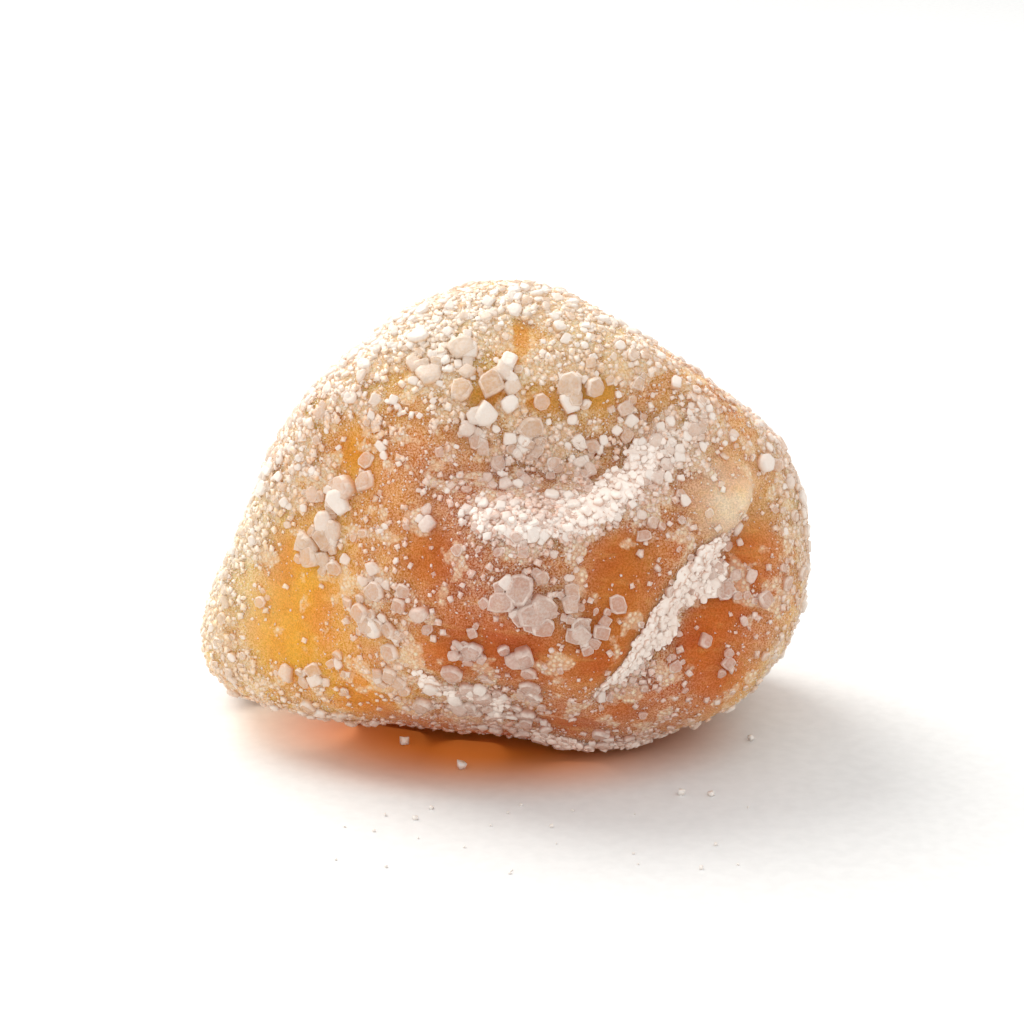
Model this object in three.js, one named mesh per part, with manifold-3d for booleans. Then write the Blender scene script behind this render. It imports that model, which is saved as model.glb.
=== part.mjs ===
// Candied ginger: one chunk of ginger root, cooked in syrup and rolled in coarse sugar.
// Millimetres. +X is to the right, +Y away from the viewer, +Z up, and the piece rests on z = 0.
// The chunk is a rounded many-faced stone shape, seen from one point inside it, its heart: each
// direction has one radius. Dents, creases and swellings are added to that radius, and the larger
// sugar crystals are small blocks sunk into the surface and fused to it.
import * as THREE from "three";
import { mergeVertices } from "three/addons/utils/BufferGeometryUtils.js";
import Module from "manifold-3d";

// ---------------------------------------------------------------- driving dimensions

const HEART = new THREE.Vector3(0.098, 0.319, 7.35);
const EDGE_SHARPNESS = 13; // higher is sharper between two faces
const BODY_DETAIL = 12; // each of the 20 first triangles is split into (detail + 1) squared
const COARSE_SUGAR = 0.7; // the mean width of a large crystal
const CRYSTAL_WIDTH = [0.75, 1.2]; // least and most, as a share of its drift's mean width
const CRYSTAL_DEPTH = [0.74, 1.08]; // as a share of its own width
const CRYSTAL_HEIGHT = [0.45, 0.75]; // as a share of its own width
const CRYSTAL_TIP = [-0.28, 0.28]; // how far it leans, in radians
const CRYSTAL_SINK = 0.42; // the share of a crystal's height that is inside the chunk
const FOOT_CUT = 12; // half the width of the block that cuts the flat foot
const FINEST_DETAIL = 0.01; // slivers thinner than this are smoothed out where blocks meet
const WELD = 1e-3; // corners closer than this are one corner

// The faces that the knife and the root's skin left: azimuth and elevation of the direction that
// each looks in, in degrees from +X and from the horizon, and its distance from the heart.
const FACES = {
  crownLeft: [137, 65, 8.8],
  crownRight: [62, 70, 9.1],
  shoulderLeft: [161, 45, 8.2],
  sideLeft: [173, 21, 8.8],
  tipLeft: [-175, 0, 12.2],
  tipUnder: [-161, -46, 12.1],
  bellyLeft: [-116, -70, 8.0],
  base: [0, -90, 7.6],
  bellyRight: [-57, -69, 9.3],
  sideUnder: [-22, -50, 10.2],
  sideRightLow: [-5, -16, 11.1],
  sideRight: [1, 4, 11.2],
  sideRightHigh: [11, 30, 10.6],
  shoulderRight: [25, 53, 8.2],
  frontLeft: [-122, 4, 8.0],
  frontRight: [-62, 10, 8.4],
  frontTop: [-95, 45, 8.5],
  frontUnder: [-92, -38, 8.1],
  backLeft: [125, 10, 7.8],
  backRight: [58, 6, 8.2],
  backUnder: [90, -42, 8.2],
};

// The forms on those faces. A path is one place, or the four control points of a curve, each as
// azimuth and elevation in degrees. Reach is how far a form spreads from its path, and rise is how
// far it lifts the surface, or sinks it where it is negative.
const FORMS = {
  hollow: { path: [[-98, 27], [-84, 36], [-68, 36], [-51, 34]], reach: 2.1, rise: -1.25 },
  hollowFloor: { path: [[-74, 29]], reach: 1.7, rise: -0.45 },
  lip: { path: [[-102, 22], [-84, 12], [-58, 18], [-37, 33]], reach: 0.95, rise: 0.45 },
  roll: { path: [[-36, 15], [-49, 12], [-64, 0], [-72, -22]], reach: 1.9, rise: 0.65 },
  knob: { path: [[-36, 16]], reach: 1.0, rise: 0.55 },
  crease: { path: [[-28, 11], [-38, 3], [-52, -10], [-64, -24]], reach: 0.8, rise: -0.7 },
  flank: { path: [[-30, -7]], reach: 2.6, rise: 0.45 },
  leftDent: { path: [[-135, 29]], reach: 1.8, rise: -0.35 },
  leftSwell: { path: [[-117, -3]], reach: 2.6, rise: 0.35 },
  bellyLump: { path: [[-58, -47]], reach: 2.2, rise: 0.35 },
  tipSwell: { path: [[-172, -16]], reach: 2.4, rise: 0.35 },
  crownDent: { path: [[70, 66]], reach: 2.2, rise: -0.35 },
  backCrease: { path: [[128, 24], [102, 12], [86, -2], [68, -24]], reach: 1.1, rise: -0.75 },
  backSwell: { path: [[128, -14]], reach: 3.0, rise: 0.6 },
  backHollow: { path: [[50, 8]], reach: 2.6, rise: -0.7 },
  leftCrease: { path: [[160, 8], [165, 0], [172, -10], [180, -24]], reach: 0.9, rise: -0.35 },
  rightDent: { path: [[9, 4]], reach: 2.0, rise: -0.45 },
  undersideHollow: { path: [[165, -62]], reach: 2.4, rise: -0.5 },
};

// Where the large crystals lie thick: along a place or a curve, as above. Spread is how far they
// stray from it, and size is their width as a share of COARSE_SUGAR.
const DRIFTS = {
  crown: { path: [[-120, 58], [-100, 50], [-84, 48], [-66, 46]], spread: 0.9, count: 16, size: 1.18 },
  hollowBed: { path: [[-100, 34], [-84, 38], [-66, 36], [-52, 34]], spread: 0.75, count: 24, size: 0.72 },
  lipCrust: { path: [[-102, 22], [-84, 12], [-58, 18], [-37, 33]], spread: 0.28, count: 20, size: 0.62 },
  creaseCrust: { path: [[-34, 8], [-42, 1], [-54, -12], [-65, -25]], spread: 0.24, count: 18, size: 0.68 },
  leftShoulder: { path: [[-135, 17]], spread: 0.75, count: 8, size: 1.12 },
  leftCheek: { path: [[-140, 4]], spread: 0.42, count: 5, size: 1.0 },
  cheekBlocks: { path: [[-120, -7]], spread: 1.0, count: 14, size: 0.9 },
  frontBlocks: { path: [[-89, -6]], spread: 1.1, count: 11, size: 1.14 },
  frontRight: { path: [[-76, -3]], spread: 0.6, count: 6, size: 1.0 },
  bellyClumps: {
    path: [[-112, -27], [-104, -30], [-98, -32], [-92, -35]], spread: 0.7, count: 22, size: 0.9,
  },
  bellyCrust: { path: [[-84, -50], [-66, -48], [-48, -48], [-34, -44]], spread: 0.4, count: 20, size: 0.66 },
  leftFoot: { path: [[-145, -28]], spread: 0.5, count: 5, size: 0.85 },
  leftRim: { path: [[-160, 16]], spread: 0.5, count: 8, size: 0.8 },
  flankBlocks: { path: [[-32, -9]], spread: 0.9, count: 6, size: 0.8 },
  rightRim: { path: [[-14, 24], [-14, 12], [-14, 0], [-14, -14]], spread: 0.6, count: 9, size: 0.7 },
  backShelf: { path: [[118, 34], [96, 30], [76, 26], [52, 34]], spread: 0.9, count: 16, size: 0.95 },
  backCrust: { path: [[128, 24], [102, 12], [86, -2], [68, -24]], spread: 0.35, count: 14, size: 0.72 },
  backBlocks: { path: [[40, -12]], spread: 1.2, count: 9, size: 1.0 },
};
const STRAY_CRYSTALS = 80; // these lie evenly over the whole piece
const STRAY_SIZE = 0.8;

// ---------------------------------------------------------------- the chunk's surface

const UP = new THREE.Vector3(0, 0, 1);
const CURVE_STEPS = 24;
const NORMAL_STEP = 0.02; // as a share of the radius

function direction([azimuth, elevation]) {
  const a = THREE.MathUtils.degToRad(azimuth);
  const e = THREE.MathUtils.degToRad(elevation);
  return new THREE.Vector3(Math.cos(a) * Math.cos(e), Math.sin(a) * Math.cos(e), Math.sin(e));
}

const faces = Object.values(FACES).map(([azimuth, elevation, distance]) => ({
  normal: direction([azimuth, elevation]),
  distance,
}));

// The faces alone, with rounded edges: a power mean of how far each face lets a direction reach.
function hullRadius(way) {
  let sum = 0;
  for (const { normal, distance } of faces) {
    sum += (Math.max(0, normal.dot(way)) / distance) ** EDGE_SHARPNESS;
  }
  return sum ** (-1 / EDGE_SHARPNESS);
}

// A path as places along a cubic curve, or as its one place.
function places(path) {
  if (path.length === 1) return path;
  const controls = path.map(([azimuth, elevation]) => new THREE.Vector2(azimuth, elevation));
  return new THREE.CubicBezierCurve(...controls)
    .getPoints(CURVE_STEPS)
    .map((place) => [place.x, place.y]);
}

function onHull(place) {
  const way = direction(place);
  return way.multiplyScalar(hullRadius(way));
}

const forms = Object.values(FORMS).map(({ path, reach, rise }) => ({
  line: places(path).map(onHull),
  reach,
  rise,
}));

function distanceToLine(point, line) {
  if (line.length === 1) return point.distanceTo(line[0]);
  const nearest = new THREE.Vector3();
  let least = Infinity;
  for (let i = 1; i < line.length; i++) {
    new THREE.Line3(line[i - 1], line[i]).closestPointToPoint(point, true, nearest);
    least = Math.min(least, nearest.distanceTo(point));
  }
  return least;
}

// The surface's distance from the heart: the hull, and each form as a bell-shaped rise beside its path.
function chunkRadius(way) {
  const radius = hullRadius(way);
  const point = way.clone().multiplyScalar(radius);
  return forms.reduce(
    (sum, { line, reach, rise }) => sum + rise * Math.exp(-((distanceToLine(point, line) / reach) ** 2)),
    radius,
  );
}

function onChunk(way) {
  return HEART.clone().addScaledVector(way, chunkRadius(way));
}

function chunkGeometry() {
  const geometry = new THREE.IcosahedronGeometry(1, BODY_DETAIL);
  const position = geometry.getAttribute("position");
  for (let i = 0; i < position.count; i++) {
    const way = new THREE.Vector3().fromBufferAttribute(position, i).normalize();
    position.setXYZ(i, ...onChunk(way).toArray());
  }
  return geometry;
}

// ---------------------------------------------------------------- sugar crystals

// A seeded draw from 0 to 1: the same serial number and use always give the same value.
function draw(serial, use) {
  let h = Math.imul(serial + 1, 0x9e3779b1) ^ Math.imul(use + 1, 0x85ebca77);
  h = Math.imul(h ^ (h >>> 15), 0x2c1b3c6d);
  h = Math.imul(h ^ (h >>> 12), 0x297a2d39);
  return ((h ^ (h >>> 15)) >>> 0) / 2 ** 32;
}

function between([least, most], serial, use) {
  return least + (most - least) * draw(serial, use);
}

// Two draws made into one point of a round bell-shaped scatter.
function scatter(serial, spread) {
  const reach = spread * Math.sqrt(-2 * Math.log(1 - draw(serial, 0)));
  const turn = 2 * Math.PI * draw(serial, 1);
  return [reach * Math.cos(turn), reach * Math.sin(turn)];
}

// The directions east and north of a place on the piece.
function compass(way) {
  const east = new THREE.Vector3().crossVectors(UP, way).normalize();
  return { east, north: new THREE.Vector3().crossVectors(way, east) };
}

function crystalPlaces() {
  const found = [];
  for (const { path, spread, count, size } of Object.values(DRIFTS)) {
    const along = places(path);
    for (let i = 0; i < count; i++) {
      const serial = found.length;
      const centre = onHull(along[Math.floor(((i + 0.5) / count) * along.length)]);
      const { east, north } = compass(centre.clone().normalize());
      const [u, v] = scatter(serial, spread);
      const way = centre.addScaledVector(east, u).addScaledVector(north, v).normalize();
      found.push({ serial, size, way });
    }
  }
  const goldenAngle = 180 * (3 - Math.sqrt(5));
  for (let i = 0; i < STRAY_CRYSTALS; i++) {
    const elevation = THREE.MathUtils.radToDeg(Math.asin(1 - (2 * i + 1) / STRAY_CRYSTALS));
    found.push({ serial: found.length, size: STRAY_SIZE, way: direction([i * goldenAngle, elevation]) });
  }
  return found;
}

// The chunk's outward direction at one place, from two short steps along its surface.
function outward(way) {
  const { east, north } = compass(way);
  const point = onChunk(way);
  const eastward = onChunk(way.clone().addScaledVector(east, NORMAL_STEP).normalize()).sub(point);
  const northward = onChunk(way.clone().addScaledVector(north, NORMAL_STEP).normalize()).sub(point);
  return eastward.cross(northward).normalize();
}

// A block on the surface at one direction, turned to lie on it and tipped a little at random.
function crystalGeometry({ serial, size, way }) {
  const width = COARSE_SUGAR * size * between(CRYSTAL_WIDTH, serial, 2);
  const depth = width * between(CRYSTAL_DEPTH, serial, 3);
  const height = width * between(CRYSTAL_HEIGHT, serial, 4);
  const turn = 2 * Math.PI * draw(serial, 7);
  const lean = new THREE.Euler(between(CRYSTAL_TIP, serial, 5), between(CRYSTAL_TIP, serial, 6), turn);
  const normal = outward(way);
  const stand = new THREE.Quaternion().setFromUnitVectors(UP, normal);
  const geometry = new THREE.BoxGeometry(width, depth, height);
  geometry.applyQuaternion(stand.multiply(new THREE.Quaternion().setFromEuler(lean)));
  const centre = onChunk(way).addScaledVector(normal, (0.5 - CRYSTAL_SINK) * height);
  return geometry.translate(centre.x, centre.y, centre.z);
}

// ---------------------------------------------------------------- joining

const wasm = await Module();
wasm.setup();

function solid(geometry) {
  geometry.deleteAttribute("normal");
  geometry.deleteAttribute("uv");
  const merged = mergeVertices(geometry, WELD);
  return new wasm.Manifold(
    new wasm.Mesh({
      numProp: 3,
      vertProperties: merged.getAttribute("position").array,
      triVerts: new Uint32Array(merged.index.array),
    }),
  );
}

function geometryOf(manifold) {
  const { vertProperties, triVerts } = manifold.getMesh();
  const geometry = new THREE.BufferGeometry();
  geometry.setAttribute("position", new THREE.BufferAttribute(vertProperties, 3));
  geometry.setIndex(new THREE.BufferAttribute(triVerts, 1));
  geometry.computeVertexNormals();
  return geometry;
}

// The largest closed skin: gaps sealed in between crystals are filled and loose scraps dropped.
function outerSkin(manifold) {
  const skins = manifold.decompose();
  return skins.reduce((largest, skin) => (skin.volume() > largest.volume() ? skin : largest));
}

function sugaredGinger() {
  const block = new THREE.BoxGeometry(2 * FOOT_CUT, 2 * FOOT_CUT, FOOT_CUT).translate(0, 0, -FOOT_CUT / 2);
  const crystals = crystalPlaces().map((place) => solid(crystalGeometry(place)));
  const joined = crystals.reduce((whole, crystal) => whole.add(crystal), solid(chunkGeometry()));
  const welded = solid(geometryOf(joined.subtract(solid(block))));
  return geometryOf(outerSkin(welded.simplify(FINEST_DETAIL)));
}

const sugaredAmber = new THREE.MeshStandardMaterial({ color: 0xd98b3a, roughness: 0.45, metalness: 0 });
const ginger = new THREE.Mesh(sugaredGinger(), sugaredAmber);
ginger.name = "candied_ginger";

const piece = new THREE.Group();
piece.add(ginger);

export default piece;
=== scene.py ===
"""Candied ginger: the looks of one chunk of ginger root, cooked in syrup and rolled in sugar.

The shape is worked out in millimetres, in the part's own frame: +X to the right, +Y away from the
viewer, +Z up, resting on z = 0. A mesh gets its place in metres. The chunk is star shaped: seen
from its heart each direction (a unit vector, called a way here) has one radius.
"""

import itertools
import math
from functools import partial

import bpy
import numpy as np
from bpy.props import FloatProperty, FloatVectorProperty, IntProperty, PointerProperty
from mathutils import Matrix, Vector


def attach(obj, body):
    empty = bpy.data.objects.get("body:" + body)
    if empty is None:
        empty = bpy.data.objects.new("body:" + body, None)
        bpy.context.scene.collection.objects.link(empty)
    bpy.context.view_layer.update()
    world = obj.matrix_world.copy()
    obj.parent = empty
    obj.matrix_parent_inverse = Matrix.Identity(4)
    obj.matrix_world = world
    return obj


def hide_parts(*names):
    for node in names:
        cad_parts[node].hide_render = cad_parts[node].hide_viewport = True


bl_info = {
    "name": "Candied ginger",
    "version": (1, 0, 0),
    "blender": (4, 5, 0),
    "location": "View3D > Sidebar > Ginger",
    "description": "Makes a sugared chunk of candied ginger and the stage it stands on",
    "category": "Object",
}

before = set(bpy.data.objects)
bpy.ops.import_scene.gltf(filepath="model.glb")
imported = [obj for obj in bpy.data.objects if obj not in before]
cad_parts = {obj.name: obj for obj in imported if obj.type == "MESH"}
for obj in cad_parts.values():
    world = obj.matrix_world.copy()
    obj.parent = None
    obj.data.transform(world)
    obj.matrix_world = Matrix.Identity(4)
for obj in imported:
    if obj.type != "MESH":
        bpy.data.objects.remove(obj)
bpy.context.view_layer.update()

NODE = "candied_ginger"
BODY = "root"
MM = 0.001  # metres in a millimetre

# ---------------------------------------------------------------- making and stage

FLESH_CELLS = 126  # squares along one side of each of the flesh's six grids
SCATTER_CELLS = 96  # the same, of the grids that the fine sugar is strewn on
CRUST_ROWS, CRUST_COLUMNS = 210, 44  # along a crust's path and round it
BASE_ZONE, BASE_SHARE = "left", 0.05  # the flesh's colour far from every zone, and its weight
PATCHES = ((0.8, 0.4), (0.42, 0.38), (0.22, 0.22))  # sizes of the sandy sugar's patches, and shares
PATCH_LEVEL, PATCH_GAIN = 0.68, 0.125  # how much noise a patch needs, and what thick sugar saves
PATCH_EDGE = 0.24  # the rise in noise from outside a patch to its full depth
PATCH_HEIGHT = 0.04  # in mm
BEAD = 0.15  # width of the beads that a patch is made of
THICKNESS = 0.75  # how thick the sugar lies away from the banks and windows
DUSTED = 0.16  # how much cloudier crystals are where the sugar lies 1 thicker
TOP_LIGHT_WHITENING = 0.3  # how much cloudier they are drawn where the chunk looks straight up: painted light from above
PLATE_SIDES = 8
PLATE_GAP, PLATE_TURN = (10, 23), 9  # in degrees: between two corners of a pair, and how uneven
PLATE_REACH, PLATE_UNEVEN = (0.42, 0.62), 0.03  # corners from the axis, and up or down
# A plate's rows of corners, from its foot up: reach, height and how strongly the painted highlight on
# its worn edge shows there.
PLATE_ROWS = ((0.92, -0.5, 0.8), (1.0, 0.2, 1.0), (0.86, 0.46, 0.95), (0.6, 0.5, 0.2))
TWINS = 3  # the most small crystals that grow on a large one
TWIN_SHARE = 0.4  # how likely each of them is
TWIN_SIZE = (0.4, 0.75)
TWIN_REACH = (0.36, 0.6)  # its distance from the large one, as a share of both widths
CUBE_PUSH, SHARD_PUSH = 0.16, 0.1  # how far the corners of small grains stray
GRAIN_SHAPE = (0.7, 0.7, 0.4), (1.1, 1.1, 0.7)  # least and most width, depth and height
GRAIN_LEAN = 0.35  # in radians
GRAIN_RISE = 0.15  # of its middle above the surface, as a share of its height

# Seeds of the noise and of the random draws. A row of them counts up from the one given.
SEEDS = {"coarse": 21, "fine": 40, "crust_grains": 60, "crusts": 70, "loose": 90,
         "lumps": 11, "fibres": 12, "patches": 31}
# What a crystal's draws are for. The twins use four each, from TWIN_DRAWS on.
STRAY, TURN, WIDTH, DEPTH, HEIGHT, TIP_X, TIP_Y, SPIN = range(8)
TWIN_DRAWS, CLOUDY = 20, 30

BOARD_WIDTH = 3000
SKY_STRENGTH = 1.08
# The key lamp: azimuth, elevation, distance and width in mm, power in watts and colour.
KEY_LAMP = (138, 50, 190, 140, 0.36, "#FFFDF8")
# The light that comes through the flesh and falls on the board: where on the underside it comes
# out, in degrees, its width in mm, its power in watts and its colour.
GLOWS = {
    "glow_tip": (-168, -39, 5.0, 0.000034, "#FFF0DC"),
    "glow_left": (-146, -50, 3.6, 0.000007, "#FFE8C0"),
    "glow_middle": (-108, -56, 3.0, 0.000006, "#FFE8C0"),
    "glow_right": (-66, -44, 3.0, 0.000004, "#FFE0C8"),
}
GLOW_GAP = 0.3  # from the flesh to the lamp
PAINTED_GLOW_PATCH = (-0.4, -1.6, 0), (6.7, 4.8, 1)  # middle and reach of the board's patch where the warm light from the flesh is painted
# Loose grains on the board: place and width of the large ones, and for the small ones the
# corners of their place, their least and most size and number.
LOOSE_SPOTS = ((-3.6, -3.0, 0.3), (-1.5, -5.3, 0.28), (6.2, -7.6, 0.24), (7.2, -7.7, 0.2),
               (-3.0, -9.7, 0.16), (9.0, -2.7, 0.18))
LOOSE_AREA = (-6, -14), (9, -8.5)
LOOSE_SIZE = (0.05, 0.14)
LOOSE_GRAINS = 24
LOOSE_SHAPE, LOOSE_LEAN, LOOSE_RISE = (0.7, 1.0), 0.3, 0.45
LOOSE_CLOUDY = 0.7
AIM = np.array((0.298, 0.319, 7.75))  # what the camera looks at
CAMERA_ELEVATION = 18
CAMERA_DISTANCE = 103.96
LENS, SENSOR = 100, 36

# ---------------------------------------------------------------- the chunk's form, in mm

HEART = np.array((0.098, 0.319, 7.35))
EDGE_SHARPNESS = 13  # higher is sharper between two faces
UP = np.array((0.0, 0.0, 1.0))

# The faces that the knife and the root's skin left: azimuth and elevation of the direction that
# each looks in, in degrees from +X and from the horizon, and its distance from the heart.
FACES = {
    "crown_left": (137, 65, 8.8),
    "crown_right": (62, 70, 9.1),
    "shoulder_left": (161, 45, 8.2),
    "side_left": (173, 21, 8.8),
    "tip_left": (-175, 0, 12.2),
    "tip_under": (-161, -46, 12.1),
    "belly_left": (-116, -70, 8.0),
    "base": (0, -90, 7.6),
    "belly_right": (-57, -69, 9.3),
    "side_under": (-22, -50, 10.2),
    "side_right_low": (-5, -16, 11.1),
    "side_right": (1, 4, 11.2),
    "side_right_high": (11, 30, 10.6),
    "shoulder_right": (25, 53, 8.2),
    "front_left": (-122, 4, 8.0),
    "front_right": (-62, 10, 8.4),
    "front_top": (-95, 45, 8.5),
    "front_under": (-92, -38, 8.1),
    "back_left": (125, 10, 7.8),
    "back_right": (58, 6, 8.2),
    "back_under": (90, -42, 8.2),
}

# A path is one place, or the four control points of a curve, each as azimuth and elevation.
LIP = [(-102, 22), (-84, 12), (-58, 18), (-37, 33)]
CREASE = [(-34, 8), (-42, 1), (-54, -12), (-65, -25)]
BACK_CREASE = [(128, 24), (102, 12), (86, -2), (68, -24)]
BELLY = [(-84, -50), (-66, -48), (-48, -48), (-34, -44)]

# The forms on those faces: a path, how far the form spreads from it and how far it lifts the
# surface, or sinks it where the rise is negative.
FORMS = {
    "hollow": ([(-98, 27), (-84, 36), (-68, 36), (-51, 34)], 2.1, -1.25),
    "hollow_floor": ([(-74, 29)], 1.7, -0.45),
    "lip": (LIP, 0.95, 0.45),
    "roll": ([(-36, 15), (-49, 12), (-64, 0), (-72, -22)], 1.9, 0.65),
    "knob": ([(-36, 16)], 1.0, 0.55),
    "crease": ([(-28, 11), (-38, 3), (-52, -10), (-64, -24)], 0.8, -0.7),
    "flank": ([(-30, -7)], 2.6, 0.45),
    "left_dent": ([(-135, 29)], 1.8, -0.35),
    "left_swell": ([(-117, -3)], 2.6, 0.35),
    "belly_lump": ([(-58, -47)], 2.2, 0.35),
    "tip_swell": ([(-172, -16)], 2.4, 0.35),
    "crown_dent": ([(70, 66)], 2.2, -0.35),
    "back_crease": (BACK_CREASE, 1.1, -0.75),
    "back_swell": ([(128, -14)], 3.0, 0.6),
    "back_hollow": ([(50, 8)], 2.6, -0.7),
    "left_crease": ([(160, 8), (165, 0), (172, -10), (180, -24)], 0.9, -0.35),
    "right_dent": ([(9, 4)], 2.0, -0.45),
    "underside_hollow": ([(165, -62)], 2.4, -0.5),
}

# Where the large crystals lie thick: path, how far they stray from it, how many, and their width
# as a share of the coarse sugar's.
DRIFTS = {
    "crown": ([(-120, 58), (-100, 50), (-84, 48), (-66, 46)], 0.9, 16, 1.18),
    "hollow_bed": ([(-100, 34), (-84, 38), (-66, 36), (-52, 34)], 0.75, 24, 0.72),
    "lip_crust": (LIP, 0.28, 20, 0.62),
    "crease_crust": (CREASE, 0.24, 18, 0.68),
    "left_shoulder": ([(-135, 17)], 0.75, 8, 1.12),
    "left_cheek": ([(-140, 4)], 0.42, 5, 1.0),
    "cheek_blocks": ([(-120, -7)], 1.0, 14, 0.9),
    "front_blocks": ([(-89, -6)], 1.1, 11, 1.14),
    "front_right": ([(-76, -3)], 0.6, 6, 1.0),
    "belly_clumps": ([(-112, -27), (-104, -30), (-98, -32), (-92, -35)], 0.7, 22, 0.9),
    "belly_crust": (BELLY, 0.4, 20, 0.66),
    "left_foot": ([(-145, -28)], 0.5, 5, 0.85),
    "left_rim": ([(-160, 16)], 0.5, 8, 0.8),
    "flank_blocks": ([(-32, -9)], 0.9, 6, 0.8),
    "right_rim": ([(-14, 24), (-14, 12), (-14, 0), (-14, -14)], 0.6, 9, 0.7),
    "back_shelf": ([(118, 34), (96, 30), (76, 26), (52, 34)], 0.9, 16, 0.95),
    "back_crust": (BACK_CREASE, 0.35, 14, 0.72),
    "back_blocks": ([(40, -12)], 1.2, 9, 1.0),
}
STRAY_CRYSTALS = 80
STRAY_SIZE = 0.8
CRYSTAL_WIDTH = (0.75, 1.2)  # least and most, as a share of its drift's mean width
CRYSTAL_DEPTH = (0.74, 1.08)  # as a share of its own width
CRYSTAL_HEIGHT = (0.45, 0.75)
CRYSTAL_TIP = (-0.28, 0.28)  # how far it leans, in radians
CRYSTAL_SINK = 0.42  # the share of a crystal's height that is inside the chunk

CURVE_STEPS = 24
NORMAL_STEP = 0.02

# The flesh's colours, with painted light at the tip: where each lies and how far it reaches.
ZONES = {
    "tip": ([(-149, -17), (-147, -12), (-146, -8), (-145, -4)], 2.0),
    "tip_end": ([(-164, -5)], 2.4),
    "left": ([(-134, 29), (-128, 20), (-124, 8), (-123, -14)], 1.9),
    "middle": ([(-96, -9), (-100, -4), (-104, 2), (-108, 8)], 2.3),
    "hollow": ([(-98, 27), (-84, 30), (-68, 30), (-56, 32)], 1.8),
    "crown": ([(-121, 70), (-100, 64), (-84, 60), (-60, 54)], 2.6),
    "top": ([(-84, 52), (-76, 50), (-66, 48), (-56, 44)], 1.6),
    "roll": ([(-60, 10), (-64, 2), (-66, -8), (-70, -20)], 1.7),
    "knob": ([(-36, 16)], 0.95),
    "flank": ([(-34, 0), (-38, -8), (-44, -15), (-50, -22)], 1.6),
    "right": ([(-16, 9), (-10, 0), (-8, -10), (-16, -20)], 2.2),
    "slope": ([(-35, 41), (-26, 34), (-20, 28), (-14, 22)], 2.2),
    "belly": ([(-110, -52), (-92, -50), (-74, -44), (-61, -28)], 2.0),
    "back": ([(60, 20), (90, 20), (120, 10), (140, 0)], 5.0),
}

# Places where the sugar is thin and the flesh shows: path, reach, and the share that is missing.
WINDOWS = [
    ([(-36, 16)], 1.15, 0.97),
    ([(-149, -17), (-148, -10), (-147, -6), (-146, 0)], 2.0, 0.9),
    ([(-134, 30)], 1.1, 0.9),
    ([(-104, -14), (-98, -12), (-92, -10), (-86, -12)], 1.5, 0.85),
    ([(-108, 9)], 1.6, 0.8),
    ([(-64, 8), (-66, 0), (-67, -6), (-69, -12)], 1.5, 0.9),
    ([(-31, 6), (-35, 0), (-40, -7), (-44, -14)], 1.1, 0.92),
    ([(-84, 60)], 1.2, 0.8),
    ([(-52, 47)], 1.0, 0.6),
    ([(-126, 50)], 0.85, 0.85),
    ([(-101, 49), (-92, 50), (-72, 48), (-56, 46)], 0.55, 0.85),
    ([(-83, 65)], 0.5, 0.9),
    ([(-39, -21)], 1.2, 0.7),
    ([(-73, -38)], 1.1, 0.6),
    ([(-61, -28)], 1.0, 0.7),
    ([(-130, -30)], 1.2, 0.7),
    ([(-100, 24), (-88, 27), (-72, 27), (-60, 30)], 0.9, 0.5),
]

# Places where the fine sugar lies thick: path, reach, and how much is added.
BANKS = [
    (LIP, 0.7, 2.6),
    (CREASE, 0.6, 2.4),
    (BELLY, 0.9, 0.8),
    (BACK_CREASE, 0.8, 1.6),
    ([(-120, 60), (-100, 66), (-70, 68), (-40, 58)], 2.6, 1.7),
    ([(-100, 80)], 2.6, 1.0),
    ([(-150, 55), (-156, 40), (-162, 25), (-168, 8)], 2.4, 2.6),
    ([(-170, 0), (-168, -12), (-160, -26), (-150, -34)], 1.5, 1.2),
    ([(-14, 26), (-12, 8), (-12, -6), (-16, -26)], 1.6, 1.6),
    ([(-90, 38), (-80, 40), (-68, 40), (-58, 38)], 1.3, 1.0),
    ([(-92, 24), (-84, 21), (-78, 23), (-70, 27)], 0.8, 2.2),
    ([(-112, 2), (-102, 6), (-92, 4), (-82, 2)], 2.4, 0.35),
    ([(-113, -18), (-108, -28), (-100, -28), (-92, -36)], 1.0, 0.6),
]

# Bands of sugar fused to a crust: path, half width, height above the flesh and size of its lumps.
CRUSTS = {
    "lip": ([(-101, 21), (-93, 17), (-84, 15), (-76, 18)], 0.42, 0.22, 0.42),
    "lip_end": ([(-79, 17), (-66, 18), (-56, 25), (-42, 35)], 0.62, 0.3, 0.4),
    "crease": ([(-36, 8), (-44, 1), (-56, -12), (-67, -25)], 0.88, 0.36, 0.5),
    "belly": (BELLY, 0.5, 0.26, 0.55),
    "belly_clumps": ([(-113, -18), (-110, -27), (-104, -30), (-96, -27)], 0.38, 0.2, 0.6),
    "belly_drop": ([(-97, -27), (-92, -29), (-91, -35), (-96, -44)], 0.35, 0.2, 0.55),
    "back": (BACK_CREASE, 0.6, 0.38, 0.5),
}
CRUST_SINK = 0.2  # how deep a crust's underside lies in the flesh
CRUST_BEADS = (0.2, 0.09)  # size and height of the beads on them
CRUST_RAGGED, CRUST_SIDE = 0.7, (0.6, 1.4)  # size of the bays in their sides, and their reach
CRUST_TAPER = 8  # higher is blunter at the ends
CRUST_LOW = 0.4  # how near its top a crust counts in its lowest hollows, which sets the painted warm shade there
CRUST_GRAINS = 2400  # crystals on the crusts
CRUST_GRAIN_SIZE = (0.5, 0.75)  # as shares of the least and the most medium crystal
CRUST_GRAIN_SKEW = 1.4


def direction(azimuth, elevation):
    """Ways from angles in degrees: (cos a cos e, sin a cos e, sin e)."""
    a, e = np.radians(azimuth), np.radians(elevation)
    return np.stack((np.cos(a) * np.cos(e), np.sin(a) * np.cos(e), np.sin(e)), -1)


def unit(vectors):
    return vectors / np.linalg.norm(vectors, axis=-1, keepdims=True)


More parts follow.
